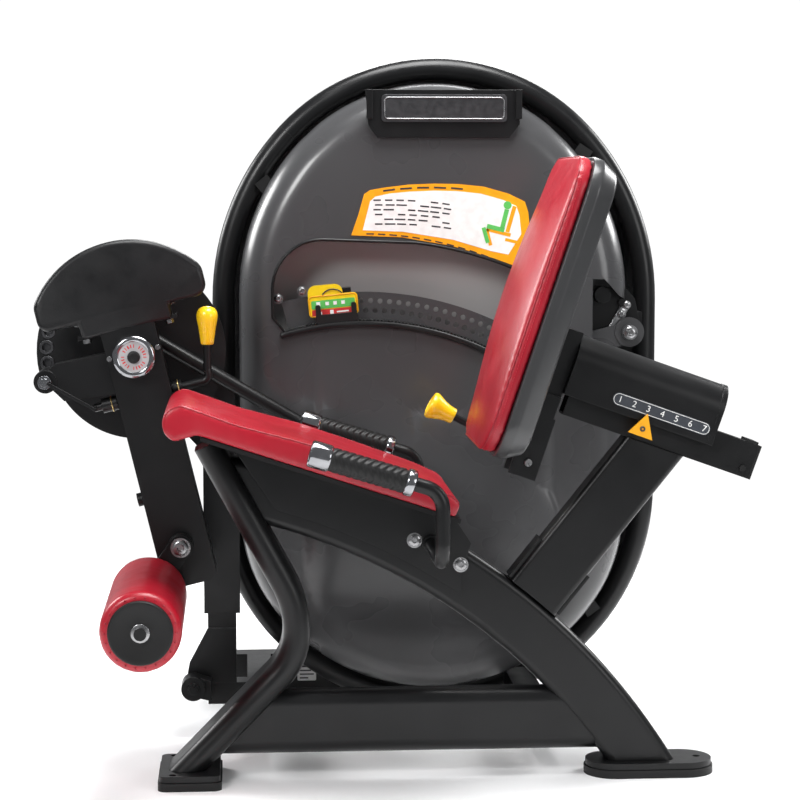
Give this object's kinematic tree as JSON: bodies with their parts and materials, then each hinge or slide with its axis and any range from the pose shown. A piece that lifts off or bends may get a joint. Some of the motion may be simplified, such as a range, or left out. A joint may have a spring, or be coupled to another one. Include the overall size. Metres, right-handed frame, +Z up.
{
  "type": "leg extension machine",
  "caption": "Seated leg extension machine: curved frame, padded seat and sliding back rest, knee pivot arm with shin roller and counterweight, oval weight tower with arc selector.",
  "frame": {"origin": "centre of the bounding box on the floor plane", "axes": "+X from the shins towards the back rest, +Y towards the weight tower, +Z up"},
  "size_m": [1.3547, 0.9965, 1.354],
  "materials": {
    "powder_black": "satin powder coat, fine texture",
    "cast_black": "satin black over casting",
    "chrome_trim": "polished",
    "bolt_steel": "zinc plated",
    "red_vinyl": "grained vinyl upholstery",
    "black_board": "matte",
    "black_rubber": "matte, moulded",
    "shroud_grey": "satin moulded",
    "shell_grey": "fine grain",
    "yellow_knob": "gloss",
    "orange_trim": "gloss",
    "label_white": "printed film",
    "label_yellow": "printed film"
  },
  "bodies": {
    "frame": {"base_rail": "powder_black", "spine_tube": "powder_black", "front_leg": "powder_black", "front_foot": "powder_black", "rear_foot": "powder_black", "foot_rubbers": "black_rubber", "column": "powder_black", "column_gussets": "powder_black", "slide_rail": "powder_black", "rail_end_plug": "black_board", "pointer": "orange_trim", "seat_supports": "powder_black", "seat_board": "black_board", "seat_pad": "red_vinyl", "handle_bars": "powder_black", "hand_grips": "black_rubber", "grip_collars": "chrome_trim", "frame_bolts": "bolt_steel", "tower_ring": "powder_black", "cross_tubes": "powder_black", "tower_upright": "powder_black", "base_lug": "powder_black", "knee_bearing": "powder_black", "crank_bracket": "powder_black", "shroud_front": "shroud_grey", "shroud_rear": "shroud_grey", "shroud_clips": "powder_black", "window_backing": "black_board", "header_bracket": "black_board", "header_plate": "black_board", "placard": "orange_trim", "serial_label": "label_white", "sector_bracket": "powder_black"},
    "disc": {"drive_disc": "powder_black", "knee_shaft": "bolt_steel", "index_bushings": "bolt_steel"},
    "arm": {"leg_arm": "powder_black", "counterweight": "cast_black", "arm_bolts": "bolt_steel", "knee_cap": "chrome_trim", "knee_label": "label_white", "index_bracket": "powder_black"},
    "pin": {"index_pin": "chrome_trim"},
    "lever": {"start_lever": "powder_black", "lever_knob": "yellow_knob"},
    "link": {"roller_link": "powder_black"},
    "roller": {"roller_pad": "red_vinyl", "roller_caps": "black_board"},
    "rod": {"connecting_rod": "powder_black"},
    "crank": {"input_crank": "powder_black"},
    "weight": {"weight_arm": "powder_black"},
    "selector": {"selector_carriage": "black_board", "selector_tag": "label_yellow"},
    "squeeze": {"squeeze_grip": "black_board"},
    "back": {"back_carriage": "powder_black", "scale_plate": "black_board", "back_bracket": "powder_black", "back_shell": "shell_grey", "back_pad": "red_vinyl"},
    "release": {"release_lever": "yellow_knob"}
  },
  "joints": [
    {"name": "leg_extension", "type": "hinge", "parent": "frame", "child": "disc", "pos_m": [-0.4814, 0.12325, 0.77], "axis": [0, 1, 0], "range_deg": [0, 95], "stiffness_Nm_per_rad": 12, "springref_deg": -143.24},
    {"name": "start_position", "type": "hinge", "parent": "disc", "child": "arm", "pos_m": [-0.4814, 0.01325, 0.77], "axis": [0, 1, 0], "range_deg": [0, 40]},
    {"name": "start_release", "type": "hinge", "parent": "arm", "child": "lever", "pos_m": [-0.46272, 0.01325, 0.69221], "axis": [0.9724, 0, 0.2334], "range_deg": [0, 6], "stiffness_Nm_per_rad": 6, "springref_deg": -11.46},
    {"name": "index_pull", "type": "slide", "parent": "arm", "child": "pin", "axis": [0, -1, 0], "range_m": [0, 0.009]},
    {"name": "roller_swing", "type": "hinge", "parent": "arm", "child": "link", "pos_m": [-0.3964, -0.02975, 0.408], "axis": [0, 1, 0], "range_deg": [-30, 40]},
    {"name": "roller_spin", "type": "hinge", "parent": "link", "child": "roller", "pos_m": [-0.4564, -0.25475, 0.322], "axis": [0, 1, 0], "continuous": true},
    {"name": "rod_swing", "type": "hinge", "parent": "disc", "child": "rod", "pos_m": [-0.5034, 0.10525, 0.826], "axis": [0, 1, 0], "range_deg": [-96, 1]},
    {"name": "crank_turn", "type": "hinge", "parent": "frame", "child": "crank", "pos_m": [-0.0664, 0.19525, 0.528], "axis": [0, 1, 0], "range_deg": [-1, 96]},
    {"name": "weight_lift", "type": "hinge", "parent": "frame", "child": "weight", "pos_m": [0.5106, 0.23925, 0.796], "axis": [0, 1, 0], "range_deg": [-0.1, 5.9]},
    {"name": "selector_move", "type": "hinge", "parent": "weight", "child": "selector", "pos_m": [-0.0354, 0.23925, 0.235], "axis": [0, 1, 0], "range_deg": [0, 33]},
    {"name": "selector_squeeze", "type": "slide", "parent": "selector", "child": "squeeze", "axis": [-0.0872, 0, 0.9962], "range_m": [0, 0.008], "stiffness_N_per_m": 600, "springref_m": -0.003},
    {"name": "backrest_slide", "type": "slide", "parent": "frame", "child": "back", "axis": [-0.9426, 0, 0.3338], "range_m": [-0.0548, 0.1096]},
    {"name": "backrest_release", "type": "hinge", "parent": "back", "child": "release", "pos_m": [0.2416, -0.10475, 0.588], "axis": [0, 1, 0], "range_deg": [0, 12], "stiffness_Nm_per_rad": 3, "springref_deg": -28.65}
  ],
  "couplings": [
    {"joint": "index_pull", "follows": "start_release", "m_per_rad": 0.0764},
    {"joint": "rod_swing", "follows": "leg_extension", "ratio": -1},
    {"joint": "crank_turn", "follows": "leg_extension", "ratio": 1},
    {"joint": "weight_lift", "follows": "leg_extension", "ratio": 0.06}
  ]
}
